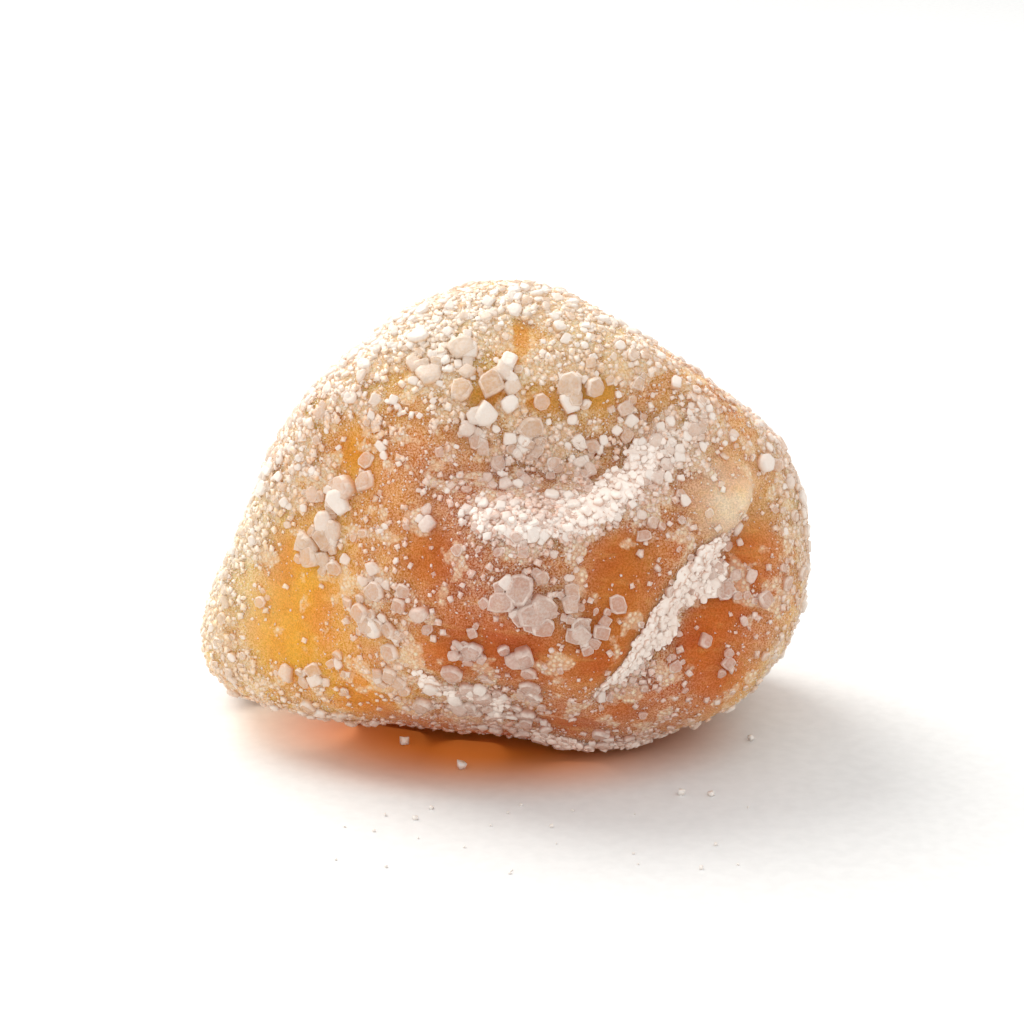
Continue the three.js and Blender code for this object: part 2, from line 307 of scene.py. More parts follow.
FACE_TABLE = np.array(list(FACES.values()), float)
FACE_NORMALS = direction(FACE_TABLE[:, 0], FACE_TABLE[:, 1])


def hull_radius(way):
    """The faces with rounded edges: (sum of (max(0, way . normal) / distance) ^ p) ^ (-1 / p)."""
    share = np.maximum(0, way @ FACE_NORMALS.T) / FACE_TABLE[:, 2]
    return (share**EDGE_SHARPNESS).sum(-1) ** (-1 / EDGE_SHARPNESS)


def on_hull(way):
    return way * hull_radius(way)[..., None]


def path_line(path, steps=CURVE_STEPS):
    """A path's points on the hull. Its places in degrees are its one place, or those of the cubic
    (1-t)^3 a + 3 (1-t)^2 t b + 3 (1-t) t^2 c + t^3 d."""
    places = np.array(path, float)
    if len(path) > 1:
        t = np.linspace(0, 1, steps + 1)[:, None]
        a, b, c, d = places
        places = (1 - t) ** 3 * a + 3 * (1 - t) ** 2 * t * b + 3 * (1 - t) * t**2 * c + t**3 * d
    return on_hull(direction(*places.T))


def distance_to_line(points, line):
    """The least distance to the line's segments: |p - a - s (b - a)|, with s the share
    (p - a) . (b - a) / |b - a|^2, kept from 0 to 1."""
    if len(line) == 1:
        return np.linalg.norm(points - line[0], axis=-1)
    least = np.full(len(points), np.inf)
    for a, b in zip(line, line[1:]):
        along = b - a
        share = np.clip((points - a) @ along / (along @ along), 0, 1)
        least = np.minimum(least, np.linalg.norm(points - a - share[:, None] * along, axis=-1))
    return least


def bell(points, path, reach):
    """exp(-(distance to the path / reach)^2), for points on the hull, seen from the heart."""
    return np.exp(-((distance_to_line(points, path_line(path)) / reach) ** 2))


def chunk_radius(way):
    """The hull's radius, and each form as a bell-shaped rise beside its path."""
    radius = hull_radius(way)
    points = way * radius[:, None]
    return radius + sum(rise * bell(points, path, reach) for path, reach, rise in FORMS.values())


# ---------------------------------------------------------------- seeded noise


def mixed(h):
    """One value from 0 to 1 for each 32-bit whole number, well mixed."""
    h = ((h ^ (h >> 15)) * 0x2C1B3C6D) & 0xFFFFFFFF
    h = ((h ^ (h >> 12)) * 0x297A2D39) & 0xFFFFFFFF
    return (h ^ (h >> 15)) / 2**32


def draw(serial, use):
    """A seeded draw from 0 to 1: the same serial number and use always give the same value."""
    serial = np.asarray(serial, np.int64)
    first = ((serial + 1) * 0x9E3779B1) & 0xFFFFFFFF
    return mixed(first ^ (((use + 1) * 0x85EBCA77) & 0xFFFFFFFF))


def between(limits, serial, use):
    return limits[0] + (limits[1] - limits[0]) * draw(serial, use)


def cell_value(cell, seed):
    """One value from 0 to 1 for each whole-number cell (x, y, z)."""
    x, y, z = np.moveaxis(cell.astype(np.int64), -1, 0)
    h = (x * 0x8DA6B343) ^ (y * 0xD8163841) ^ (z * 0xCB1AB31F) ^ ((seed + 1) * 0x9E3779B1)
    return mixed(h & 0xFFFFFFFF)


def noise(points, size, seed):
    """Smooth noise from 0 to 1: cell values at the corners of cubes of that size, blended by
    t^2 (3 - 2 t) along each axis."""
    place = points / size
    cell = np.floor(place)
    share = place - cell
    share = share * share * (3 - 2 * share)
    total = 0
    for corner in itertools.product((0, 1), repeat=3):
        weight = np.prod(np.where(corner, share, 1 - share), axis=-1)
        total = total + weight * cell_value(cell + corner, seed)
    return total


def grains(points, size, seed):
    """Packed round grains: sqrt(1 - (distance / size)^2) from the nearest of the random points
    in the 27 cubes round each point, one point in each cube."""
    cell = np.floor(points / size)
    nearest = np.full(len(points), np.inf)
    for step in itertools.product((-1, 0, 1), repeat=3):
        there = cell + step
        middle = np.stack([cell_value(there, seed + i) for i in range(3)], -1)
        nearest = np.minimum(nearest, np.linalg.norm((there + middle) * size - points, axis=-1))
    return np.sqrt(np.clip(1 - (nearest / size) ** 2, 0, 1))


# ---------------------------------------------------------------- the chunk's surface

FIBRE_WAY = unit(np.array((0.93, 0.25, 0.26)))  # the root's fibres run this way
FIBRE_TURN = (0, -0.26, 0.26)  # the same way, as turns from +X in radians
FIBRE_STRETCH = 9.0
FIBRE_WIDTH, FIBRE_DEPTH = 0.42, 0.06
LUMPS = ((2.6, 0.24), (1.2, 0.12), (0.5, 0.05))  # size and height of the soft unevenness


def relief(points, fibre_depth):
    """Soft lumps, and fibres: noise that is stretched along the fibres' way."""
    height = sum(rise * (noise(points, size, SEEDS["lumps"]) - 0.5) for size, rise in LUMPS)
    along = points @ FIBRE_WAY
    squeezed = points - FIBRE_WAY * (along * (1 - 1 / FIBRE_STRETCH))[:, None]
    return height + fibre_depth * (noise(squeezed, FIBRE_WIDTH, SEEDS["fibres"]) - 0.5)


def on_chunk(way, fibre_depth=FIBRE_DEPTH):
    """Points on the flesh: heart + way (radius + relief), with the flat foot at z = 0."""
    radius = chunk_radius(way)
    points = HEART + way * (radius + relief(way * radius[:, None], fibre_depth))[:, None]
    points[:, 2] = np.maximum(points[:, 2], 0)
    return points


def compass(way):
    """The directions east and north of places on the piece."""
    east = unit(np.cross(UP, way))
    return east, np.cross(way, east)


def outward(way):
    """The smooth chunk's outward direction, from two short steps along its surface."""
    east, north = compass(way)
    radial = [HEART + w * chunk_radius(w)[:, None] for w in (
        way, unit(way + NORMAL_STEP * east), unit(way + NORMAL_STEP * north))]
    return unit(np.cross(radial[1] - radial[0], radial[2] - radial[0]))


def ball_grid(cells):
    """A cube's six grids of cells by cells squares, carried to the ball: (1, tan u, tan v) made a
    unit vector, for u and v from -45 to 45 degrees. Corners that two grids share are one."""
    t = np.tan(np.linspace(-math.pi / 4, math.pi / 4, cells + 1))
    u, v = np.meshgrid(t, t, indexing="ij")
    index = np.arange((cells + 1) ** 2).reshape(cells + 1, cells + 1)
    quads = np.stack((index[:-1, :-1], index[1:, :-1], index[1:, 1:], index[:-1, 1:]), -1)
    points, faces = [], []
    for axis, side in itertools.product(range(3), (1, -1)):
        grid = np.stack((np.full_like(u, side), side * u, v), -1).reshape(-1, 3)
        faces.append(quads.reshape(-1, 4) + len(points) * len(grid))
        points.append(np.roll(grid, axis, axis=1))
    points = np.round(unit(np.concatenate(points)), 7)
    shared, where = np.unique(points, axis=0, return_inverse=True)
    return unit(shared), where.reshape(-1)[np.concatenate(faces)]


def flesh_tint(points, colours):
    """The flesh's colour at points on the hull: the mean of the zones' colours, each weighed by
    its bell."""
    shares = [bell(points, path, reach) for path, reach in ZONES.values()]
    shares = np.stack(shares + [np.full(len(points), BASE_SHARE)], -1)
    tints = np.array([getattr(colours, name) for name in (*ZONES, BASE_ZONE)])
    tint = shares @ tints / shares.sum(-1, keepdims=True)
    return np.concatenate((tint, np.ones((len(points), 1))), -1)


def crust_surface(path, half_width, height, lump_size, seed):
    """A closed band that lies on the flesh along a path: rows along u from -1 to 1, columns round
    it at angle v. Each point is moved across the path by half width * (0.6 to 1.4, by noise of
    its own on each side) * cos v * (1 - u^8). It is moved off the flesh by sqrt(sin v) * (height *
    lumps + beads) above, or by sink * sin v below, less the sink, so that only the grains stand
    out. Returns points, triangles, with fans as ends, and how near its top each point is."""
    line = path_line(path, CRUST_ROWS - 1)
    along = unit(np.gradient(line, axis=0))
    across = unit(np.cross(along, unit(line)))
    v = np.linspace(0, 2 * math.pi, CRUST_COLUMNS, endpoint=False)
    taper = 1 - np.linspace(-1, 1, CRUST_ROWS) ** CRUST_TAPER
    least, most = CRUST_SIDE
    left, right = (least + (most - least) * noise(line + side * across, CRUST_RAGGED, seed)
                   for side in (-1, 1))
    ragged = np.where(np.cos(v) > 0, right[:, None], left[:, None])
    offset = half_width * taper[:, None] * ragged * np.cos(v)
    flat = (line[:, None, :] + offset[..., None] * across[:, None, :]).reshape(-1, 3)
    way = unit(flat)
    bead_size, bead_height = CRUST_BEADS
    lumps = height * grains(flat, lump_size, seed + 1)
    beads = bead_height * grains(flat, bead_size, seed + 4)
    rise = np.tile(np.sin(v), CRUST_ROWS)
    lift = np.where(rise > 0, np.sqrt(np.abs(rise)) * (lumps + beads), CRUST_SINK * rise)
    lift = lift * np.repeat(taper, CRUST_COLUMNS) - CRUST_SINK
    points = on_chunk(way) + outward(way) * lift[:, None]
    ends = on_chunk(unit(line[[0, -1]])) - CRUST_SINK * unit(line[[0, -1]])
    points = np.concatenate((points, ends))
    share = (lumps + beads) / (height + bead_height)
    top = np.append(CRUST_LOW + (1 - CRUST_LOW) * share, (0, 0))
    index = np.arange(CRUST_ROWS * CRUST_COLUMNS).reshape(CRUST_ROWS, CRUST_COLUMNS)
    a, b = index[:-1], index[1:]
    c, d = np.roll(b, -1, 1), np.roll(a, -1, 1)
    first, last = np.full_like(index[0], index.size), np.full_like(index[0], index.size + 1)
    fans = [(first, index[0], np.roll(index[0], -1)), (last, np.roll(index[-1], -1), index[-1])]
    parts = [(a, b, c), (a, c, d), *fans]
    triangles = np.concatenate([np.stack(part, -1).reshape(-1, 3) for part in parts])
    return points, triangles, top


def sugar_density(points):
    """How thick the fine sugar lies, about 1 on average: banks are added, and each window takes
    its share away."""
    density = THICKNESS + sum(more * bell(points, path, reach) for path, reach, more in BANKS)
    for path, reach, missing in WINDOWS:
        density = density * (1 - missing * bell(points, path, reach))
    return density


def sugar_patches(points):
    """How far inside a patch of sandy sugar points on the hull are, with 0.5 at its rim: layered
    noise, less a level that falls where the sugar lies thicker."""
    height = sum(share * noise(points, size, SEEDS["patches"] + i)
                 for i, (size, share) in enumerate(PATCHES))
    level = PATCH_LEVEL - PATCH_GAIN * sugar_density(points)
    return np.clip(0.5 + (height - level) / PATCH_EDGE, 0, 1)


# ---------------------------------------------------------------- meshes


def put_mesh(name, points, faces, smooth, values=None):
    """A mesh object at the origin from arrays of points in mm and of faces, with named values
    for its points: one number or four (a colour) each."""
    mesh = bpy.data.meshes.new(name)
    mesh.vertices.add(len(points))
    mesh.vertices.foreach_set("co", (points * MM).astype(np.float32).ravel())
    mesh.loops.add(faces.size)
    mesh.loops.foreach_set("vertex_index", faces.astype(np.int32).ravel())
    mesh.polygons.add(len(faces))
    starts = np.arange(0, faces.size, faces.shape[1], dtype=np.int32)
    mesh.polygons.foreach_set("loop_start", starts)
    mesh.update(calc_edges=True)
    mesh.polygons.foreach_set("use_smooth", np.full(len(faces), smooth))
    for key, value in (values or {}).items():
        kind, field = ("FLOAT", "value") if value.ndim == 1 else ("FLOAT_COLOR", "color")
        layer = mesh.attributes.new(key, kind, "POINT")
        layer.data.foreach_set(field, value.astype(np.float32).ravel())
    piece = bpy.data.objects.new(name, mesh)
    bpy.context.scene.collection.objects.link(piece)
    return piece


def dress(piece, material):
    """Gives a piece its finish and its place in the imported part."""
    piece.data.materials.append(material)
    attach(piece, BODY)
    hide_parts(NODE)


def faced_out(points, triangles):
    """Turns round each triangle of a convex form that looks to the middle of it."""
    a, b, c = (points[triangles[:, i]] for i in range(3))
    inward = (np.cross(b - a, c - a) * (a + b + c)).sum(-1) < 0
    return np.where(inward[:, None], triangles[:, ::-1], triangles)


def plates(count, rng):
    """Crystals of unit width, no two alike: prisms whose eight corners stand in pairs, so that
    they look like worn squares or like octagons, with a worn edge round the top. Corner k is at
    angle 45 (2 floor(k / 2) + 1) +- gap. Returns their points, the triangles of one crystal and
    how much painted highlight each of its points takes at the worn edge."""
    ring = np.arange(PLATE_SIDES)
    gap = rng.uniform(*PLATE_GAP, (count, 1)) * np.where(ring % 2, 1, -1)
    uneven = rng.uniform(-PLATE_TURN, PLATE_TURN, (count, PLATE_SIDES))
    turn = np.radians(45 * (2 * (ring // 2) + 1) + gap + uneven)
    reach = rng.uniform(*PLATE_REACH, (count, PLATE_SIDES))
    across = np.stack((np.cos(turn), np.sin(turn)), -1) * reach[..., None]
    rows = []
    for share, height, _ in PLATE_ROWS:
        level = height + rng.uniform(-PLATE_UNEVEN, PLATE_UNEVEN, (count, PLATE_SIDES, 1))
        rows.append(np.concatenate((share * across, level), -1))
    ends = np.array(((0, 0, -0.5), (0, 0, 0.5))) + np.zeros((count, 1, 1))
    there = np.roll(ring, -1)
    bottom, middle = np.full((2, PLATE_SIDES), len(PLATE_ROWS) * PLATE_SIDES) + ((0,), (1,))
    corners = [(there, ring, bottom)]
    for step in range(len(PLATE_ROWS) - 1):
        low, low_2 = ring + step * PLATE_SIDES, there + step * PLATE_SIDES
        high, high_2 = low + PLATE_SIDES, low_2 + PLATE_SIDES
        corners += [(low, low_2, high_2), (low, high_2, high)]
    corners.append((high, high_2, middle))
    triangles = np.concatenate([np.stack(corner, -1) for corner in corners])
    edge_highlight = np.append(np.repeat([row[2] for row in PLATE_ROWS], PLATE_SIDES), (0, 0))
    return np.concatenate((*rows, ends), 1), triangles, edge_highlight


CUBE = np.array(list(itertools.product((-0.5, 0.5), repeat=3)))
CUBE_TRIANGLES = faced_out(CUBE, np.array([
    (0, 1, 3), (0, 3, 2), (4, 5, 7), (4, 7, 6), (0, 1, 5), (0, 5, 4),
    (2, 3, 7), (2, 7, 6), (0, 2, 6), (0, 6, 4), (1, 3, 7), (1, 7, 5)]))
SHARD = np.array(((1, 1, 1), (1, -1, -1), (-1, 1, -1), (-1, -1, 1))) * 0.4
SHARD_TRIANGLES = faced_out(SHARD, np.array(((0, 1, 2), (0, 1, 3), (0, 2, 3), (1, 2, 3))))


def cubes(count, rng):
    """Cubes of unit width with each corner pushed a little off its place."""
    return CUBE + rng.uniform(-CUBE_PUSH, CUBE_PUSH, (count, 8, 3)), CUBE_TRIANGLES, np.ones(8)


def shards(count, rng):
    """Four-cornered chips with each corner pushed a little off its place."""
    return SHARD + rng.uniform(-SHARD_PUSH, SHARD_PUSH, (count, 4, 3)), SHARD_TRIANGLES, np.ones(4)


def turned(normal, lean_x, lean_y, spin):
    """Matrices that stand +Z on the normal, after leaning by lean_x and lean_y and a spin:
    (1 + [v] + [v]^2 / (1 + c)) Rx Ry Rz, with v = up x normal and c = up . normal."""
    count = len(normal)
    cross = np.zeros((count, 3, 3))
    v = np.cross(UP, normal)
    cross[:, 0, 1], cross[:, 0, 2] = -v[:, 2], v[:, 1]
    cross[:, 1, 0], cross[:, 1, 2] = v[:, 2], -v[:, 0]
    cross[:, 2, 0], cross[:, 2, 1] = -v[:, 1], v[:, 0]
    c = np.maximum(normal @ UP, -0.9999)[:, None, None]
    stand = np.eye(3) + cross + cross @ cross / (1 + c)
    for axis, angle in ((0, lean_x), (1, lean_y), (2, spin)):
        turn = np.tile(np.eye(3), (count, 1, 1))
        i, j = (axis + 1) % 3, (axis + 2) % 3
        turn[:, i, i] = turn[:, j, j] = np.cos(angle)
        turn[:, j, i] = np.sin(angle)
        turn[:, i, j] = -turn[:, j, i]
        stand = stand @ turn
    return stand


def stamped(local, triangles, centres, sizes, turns):
    """Crystals of unit width set in place: centre + turn (size * point)."""
    points = centres[:, None, :] + np.einsum("nij,nkj->nki", turns, local * sizes[:, None, :])
    points[..., 2] = np.maximum(points[..., 2], 0)
    faces = triangles + (np.arange(len(centres)) * local.shape[1])[:, None, None]
    return points.reshape(-1, 3), faces.reshape(-1, 3)


def lay_sugar(name, shape, centres, sizes, turns, finish, colours, seed):
    """Makes one piece of sugar with a crystal at each centre. Its points know how much painted
    highlight they take at the crystal's edges, how high on it they are, which sets the painted warm
    shade at its foot, how cloudy it is, made whiter by painted light where the chunk faces up, and
    the flesh's colour under it."""
    local, triangles, edge_highlight = shape(len(centres), np.random.default_rng(seed))
    way = unit(centres - HEART)
    hull = on_hull(way)
    tint = flesh_tint(hull, colours)
    cloud_and_top_light = draw(np.arange(len(centres)), CLOUDY) + DUSTED * (sugar_density(hull) - 1)
    # painted light: crystals high on the chunk are drawn whiter, for the light from above
    cloud_and_top_light = cloud_and_top_light + TOP_LIGHT_WHITENING * np.maximum(way[:, 2], 0)
    points, faces = stamped(local, triangles, centres, sizes, turns)
    piece = put_mesh(name, points, faces, True, {
        "edge_highlight": np.tile(edge_highlight, len(centres)),
        "rise": np.clip(local[..., 2] + 0.5, 0, 1).ravel(),
        "cloud_and_top_light": np.repeat(np.clip(cloud_and_top_light, 0, 1), len(edge_highlight)),
        "flesh_colour": np.repeat(tint, len(edge_highlight), axis=0)})
    dress(piece, finish)


# ---------------------------------------------------------------- where the sugar lies


def coarse_places():
    """Ways and mean widths of the large crystals, by the same rule as the solid's: along each
    drift's path with a round bell-shaped scatter, then strays evenly over the whole piece."""
    ways, sizes = [], []
    for path, spread, count, size in DRIFTS.values():
        line = path_line(path)
        centre = line[np.floor((np.arange(count) + 0.5) / count * len(line)).astype(int)]
        serial = sum(map(len, ways)) + np.arange(count)
        reach = spread * np.sqrt(-2 * np.log(1 - draw(serial, STRAY)))
        turn = 2 * math.pi * draw(serial, TURN)
        east, north = compass(unit(centre))
        offset = (reach * np.cos(turn))[:, None] * east + (reach * np.sin(turn))[:, None] * north
        ways.append(unit(centre + offset))
        sizes.append(np.full(count, size))
    step = np.arange(STRAY_CRYSTALS)
    height = np.degrees(np.arcsin(1 - (2 * step + 1) / STRAY_CRYSTALS))
    ways.append(direction(step * 180 * (3 - math.sqrt(5)), height))
    sizes.append(np.full(STRAY_CRYSTALS, STRAY_SIZE))
    return np.concatenate(ways), np.concatenate(sizes)


def with_twins(way, width):
    """The crystals, and after them the smaller ones that grew on them: each lies about half of
    both widths from the large one, on any side."""
    ways, widths = [way], [width]
    serial = np.arange(len(way))
    east, north = compass(way)
    for first in range(TWIN_DRAWS, TWIN_DRAWS + 4 * TWINS, 4):
        there = draw(serial, first) < TWIN_SHARE
        small = width * between(TWIN_SIZE, serial, first + 1)
        turn = 2 * math.pi * draw(serial, first + 2)
        away = (width + small) * between(TWIN_REACH, serial, first + 3) / hull_radius(way)
        ways.append(unit(way + (away * np.cos(turn))[:, None] * east
                         + (away * np.sin(turn))[:, None] * north)[there])
        widths.append(small[there])
    return np.concatenate(ways), np.concatenate(widths)


def scattered(surface, density, count, rng):
    """Random places on a mesh of quads, as many for each patch as its area times its density.
    Returns their points."""
    points, quads = surface
    a, b, c, d = (points[quads[:, i]] for i in range(4))
    area = np.linalg.norm(np.cross(c - a, d - b), axis=-1) / 2
    heap = np.cumsum(area * density[quads].mean(-1))
    chosen = np.searchsorted(heap, rng.random(count) * heap[-1])
    u, v = rng.random((2, count, 1))
    across = a[chosen] * (1 - u) + b[chosen] * u
    return across * (1 - v) + (d[chosen] * (1 - u) + c[chosen] * u) * v


def strew(name, surface, density, count, limits, skew, shape, finish, colours, seed):
    """Makes one piece of grains strewn over a surface, most of them flat on it. Their widths run from
    least to most as (random from 0 to 1) ^ skew."""
    rng = np.random.default_rng(seed)
    place = scattered(surface, density, count, rng)
    normal = outward(unit(place - HEART))
    least, most = limits
    width = (least + (most - least) * rng.random(count) ** skew) / MM
    size = width[:, None] * rng.uniform(*GRAIN_SHAPE, (count, 3))
    lean = rng.uniform(-GRAIN_LEAN, GRAIN_LEAN, (2, count))
    turns = turned(normal, *lean, rng.random(count) * 2 * math.pi)
    centre = place + normal * (GRAIN_RISE * size[:, 2])[:, None]
    lay_sugar(name, shape, centre, size, turns, finish, colours, seed + 10)


# ---------------------------------------------------------------- colours and materials

# Sizes in mm of the patterns in the finishes. Those marked * are finer in life, and drawn coarser
# so that they show.
FIBRE_GRAIN = 0.3  # threads of the root
SYRUP_PATCH = 1.6  # patches where the syrup went in deeper
GRIT = 0.06  # * specks of bloom
RAG = 0.12  # * rags at the rims of the sandy patches
SCUFF = 0.09  # * scuffs on a crystal
CLOUD = 0.35  # cloudy spots inside a crystal
CRUST_LUMP, CRUST_GRIT = 0.4, 0.08
BOARD_TOOTH = 0.5  # *
SUGAR_IOR, SYRUP_IOR = 1.53, 1.46

# A finish of crystals: its name, and the share of the flesh's colour and the alpha, each for a
# clear and for a white crystal. Small ones are opaque, and have more of the flesh's colour instead.
CRYSTALS = ("scuffed_sugar_crystal", (0.36, 0.05), (0.52, 0.9))
SMALL_CRYSTALS = ("scuffed_sugar_grain", (0.6, 0.2), None)

# The output that is used of a kind of node, and its settings, where they aren't the first and the
# node's own. Mix has the share in socket 0 and the colours in 6 and 7, and MapRange has the value
# in its first one, then from low, from high, to low and to high.
USUAL = {
    "Mix": (2, {"data_type": "RGBA"}),
    "MapRange": (0, {"interpolation_type": "SMOOTHSTEP"}),
    "Attribute": ("Fac", {}),
}


def linear(hex_colour):
    """The linear red, green and blue of an sRGB hex colour."""
    channels = [int(hex_colour[i:i + 2], 16) / 255 for i in (1, 3, 5)]
    return [c / 12.92 if c <= 0.04045 else ((c + 0.055) / 1.055) ** 2.4 for c in channels]


def opaque(colour):
    return (*colour, 1.0)


def add_node(tree, kind, inputs=(), output=None, **settings):
    """Adds a node and returns its output of that name or number. Settings are its properties, and
    inputs are values or the outputs that feed its sockets, in order or by name or number."""
    node = tree.nodes.new("ShaderNode" + kind)
    usual_output, usual_settings = USUAL.get(kind, (0, {}))
    for key, value in {**usual_settings, **settings}.items():
        setattr(node, key, value)
    for socket, value in inputs.items() if isinstance(inputs, dict) else enumerate(inputs):
        if isinstance(value, bpy.types.NodeSocket):
            tree.links.new(value, node.inputs[socket])
        else:
            node.inputs[socket].default_value = value
    return node.outputs[usual_output if output is None else output] if node.outputs else None


def new_material(name):
    """An empty node material: itself, what adds a node to it, and its object coordinates in mm."""
    material = bpy.data.materials.new(name)
    material.use_nodes = True
    material.node_tree.nodes.clear()
    node = partial(add_node, material.node_tree)
    place = node("TexCoord", output="Object")
    return material, node, node("VectorMath", {0: place, "Scale": 1 / MM}, operation="SCALE")


def finish_material(node, inputs):
    node("OutputMaterial", {"Surface": node("BsdfPrincipled", inputs)})


def cooked_ginger(colours):
    """Ginger root cooked in syrup: a translucent amber gel with fibres, clear enough to glow
    where it is thin, and dulled by a bloom of sugar too fine to see as grains."""
    material, node, place = new_material("syrup_cooked_ginger_root")
    stretched = node("Mapping", {"Vector": place, "Rotation": FIBRE_TURN, "Scale": (0.12, 1, 1)})
    fibres = node("TexNoise", {
        "Vector": stretched, "Scale": 1 / FIBRE_GRAIN, "Detail": 3.0, "Roughness": 0.6})
    patches = node("TexNoise", {"Vector": place, "Scale": 1 / SYRUP_PATCH, "Detail": 3.0})
    grit = node("TexNoise", {"Vector": place, "Scale": 1 / GRIT, "Roughness": 0.7})
    flesh = node("Attribute", output="Color", attribute_name="flesh_colour")
    share = node("MapRange", (patches, 0.35, 0.7, 0.0, 0.45))
    deep = node("Mix", {0: share, 6: flesh, 7: opaque(colours.deep)}, blend_type="MULTIPLY")
    share = node("MapRange", (fibres, 0.5, 0.75, 0.0, 0.22))
    light = node("Mix", {0: share, 6: deep, 7: opaque(colours.fibre)})
    shade = node("MapRange", (grit, 0.3, 0.7, 0.78, 1.1))
    light = node("VectorMath", {0: light, "Scale": shade}, operation="SCALE")

    bloom = opaque(colours.bloom)
    dusted = node("Attribute", attribute_name="dusted")
    dusted = node("MapRange", (dusted, 0.05, 1.0, 0.05, 0.55))
    specks = node("Math", (node("MapRange", (grit, 0.35, 0.7)), dusted), operation="MULTIPLY")
    light = node("Mix", {0: specks, 6: light, 7: bloom})

    rags = node("TexNoise", {"Vector": place, "Scale": 1 / RAG})
    inside = node("Attribute", attribute_name="sandy")
    ragged = node("Math", (rags, 0.5, inside), operation="MULTIPLY_ADD")
    sandy = node("MapRange", (ragged, 0.5, 0.9, 0.02, 0.95))
    cells = node("TexVoronoi", {"Vector": place, "Scale": 1 / BEAD}).node.outputs
    bead = node("MapRange", (cells["Distance"], 0.2, 0.7, 1.0, 0.0))
    hue = node("MapRange", (node("SeparateColor", (cells["Color"],)), 0.0, 1.0, 0.45, 1.0))
    share = node("Math", (bead, hue), operation="MULTIPLY")
    sand = node("Mix", {0: share, 6: node("Mix", {0: 0.3, 6: light, 7: bloom}), 7: bloom})
    beads = node("Math", (bead, sandy), operation="MULTIPLY")
    rough = node("Math", (beads, 1.5, grit), operation="MULTIPLY_ADD")
    finish_material(node, {
        "Base Color": node("Mix", {0: sandy, 6: light, 7: sand}),
        "Roughness": node("MapRange", (grit, 0.3, 0.7, 0.35, 0.65)),
        "Subsurface Weight": node("MapRange", (sandy, 0.0, 1.0, 1.0, 0.45)),
        "Subsurface Radius": (1.0, 0.7, 0.4), "Subsurface Scale": 1.5 * MM,
        "IOR": SYRUP_IOR, "Specular IOR Level": 0.12,
        "Normal": node("Bump", {"Height": rough, "Strength": 0.8, "Distance": 0.04 * MM})})
    return material


def painted_foot_shade(node):
    """How much of the flesh's colour is painted low on a crystal and in a crust's hollows: painted warm
    shade for the light that comes up through the flesh.
    """
    rise = node("Attribute", attribute_name="rise")
    return node("MapRange", (rise, 0.35, 0.9, 0.6, 0.0))


def tinted_sugar(node, colours, white, share):
    """Clear and white sugar mixed by how white it is, and then with a share of the flesh's colour."""
    sugar = node("Mix", {
        0: white, 6: opaque(colours.clear_sugar), 7: opaque(colours.white_sugar_and_edge_highlight)})
    flesh = node("Attribute", output="Color", attribute_name="flesh_colour")
    return node("Mix", {0: share, 6: sugar, 7: flesh})


def frosted_sugar(colours, name, flesh_share, alpha):
    """Coarse sanding sugar: cane crystals scuffed in the drum. The clear ones let the flesh's
    colour through their faces and carry a painted white highlight at their edges, mottled by noise,
    the cloudy ones are white all over."""
    material, node, place = new_material(name)
    scuff = node("TexNoise", {"Vector": place, "Scale": 1 / SCUFF, "Roughness": 0.6})
    cloud = node("TexNoise", {"Vector": place, "Scale": 1 / CLOUD})
    edge_highlight = node("Attribute", attribute_name="edge_highlight")
    # painted highlight: white at a crystal's edges, mottled by the cloud noise
    painted_edge_highlight = node("Math", (
        node("MapRange", (edge_highlight, 0.5, 0.9)),
        node("MapRange", (cloud, 0.3, 0.7, 0.25, 0.6))), operation="MULTIPLY")
    cloud_and_top_light = node("Attribute", attribute_name="cloud_and_top_light")
    cloud_and_top_light = node("MapRange", (cloud_and_top_light, 0.35, 1.2, 0.0, 0.85))
    white = node("Math", (painted_edge_highlight, cloud_and_top_light), operation="MAXIMUM")
    share = node("Math", (
        node("MapRange", (white, 0.0, 0.9, *flesh_share)),
        node("MapRange", (scuff, 0.35, 0.65, 1.4, 0.6))), operation="MULTIPLY")
    # painted shade: the flesh's colour low on each crystal
    share = node("Math", (share, painted_foot_shade(node)), operation="MAXIMUM")
    finish_material(node, {
        "Base Color": tinted_sugar(node, colours, white, share),
        "Roughness": node("MapRange", (scuff, 0.3, 0.7, 0.3, 0.55)),
        "Alpha": node("MapRange", (white, 0.0, 0.9, *alpha)) if alpha else 1.0,
        "IOR": SUGAR_IOR,
        "Normal": node("Bump", {"Height": scuff, "Strength": 0.9, "Distance": 0.03 * MM})})
    return material


def fused_sugar(colours):
    """Sugar that was wet and dried to a crust: white on its beads, with the flesh's colour painted
    in the hollows between them as warm shade."""
    material, node, place = new_material("fused_sugar_crust")
    lumps = node("TexNoise", {"Vector": place, "Scale": 1 / CRUST_LUMP})
    grit = node("TexNoise", {"Vector": place, "Scale": 1 / CRUST_GRIT, "Roughness": 0.6})
    share = node("Math", (
        node("MapRange", (lumps, 0.3, 0.7, 0.1, 0.0)),
        node("Math", (painted_foot_shade(node), 0.6), operation="MULTIPLY")), operation="MAXIMUM")
    finish_material(node, {
        "Base Color": tinted_sugar(node, colours, grit, share), "Roughness": 0.5, "IOR": SUGAR_IOR,
        "Normal": node("Bump", {"Height": grit, "Strength": 0.6, "Distance": 0.04 * MM})})
    return material


def fine_sugar(colours):
    """Fine sugar: the same crystals broken small, which look white because light meets so many
    faces in them, with some of the flesh's colour."""
    material, node, _ = new_material("fine_sugar")
    cloud_and_top_light = node("Attribute", attribute_name="cloud_and_top_light")
    share = node("MapRange", (cloud_and_top_light, 0.0, 1.0, 0.45, 0.12))
    finish_material(node, {
        "Base Color": tinted_sugar(node, colours, cloud_and_top_light, share),
        "Roughness": 0.45, "IOR": SUGAR_IOR})
    return material


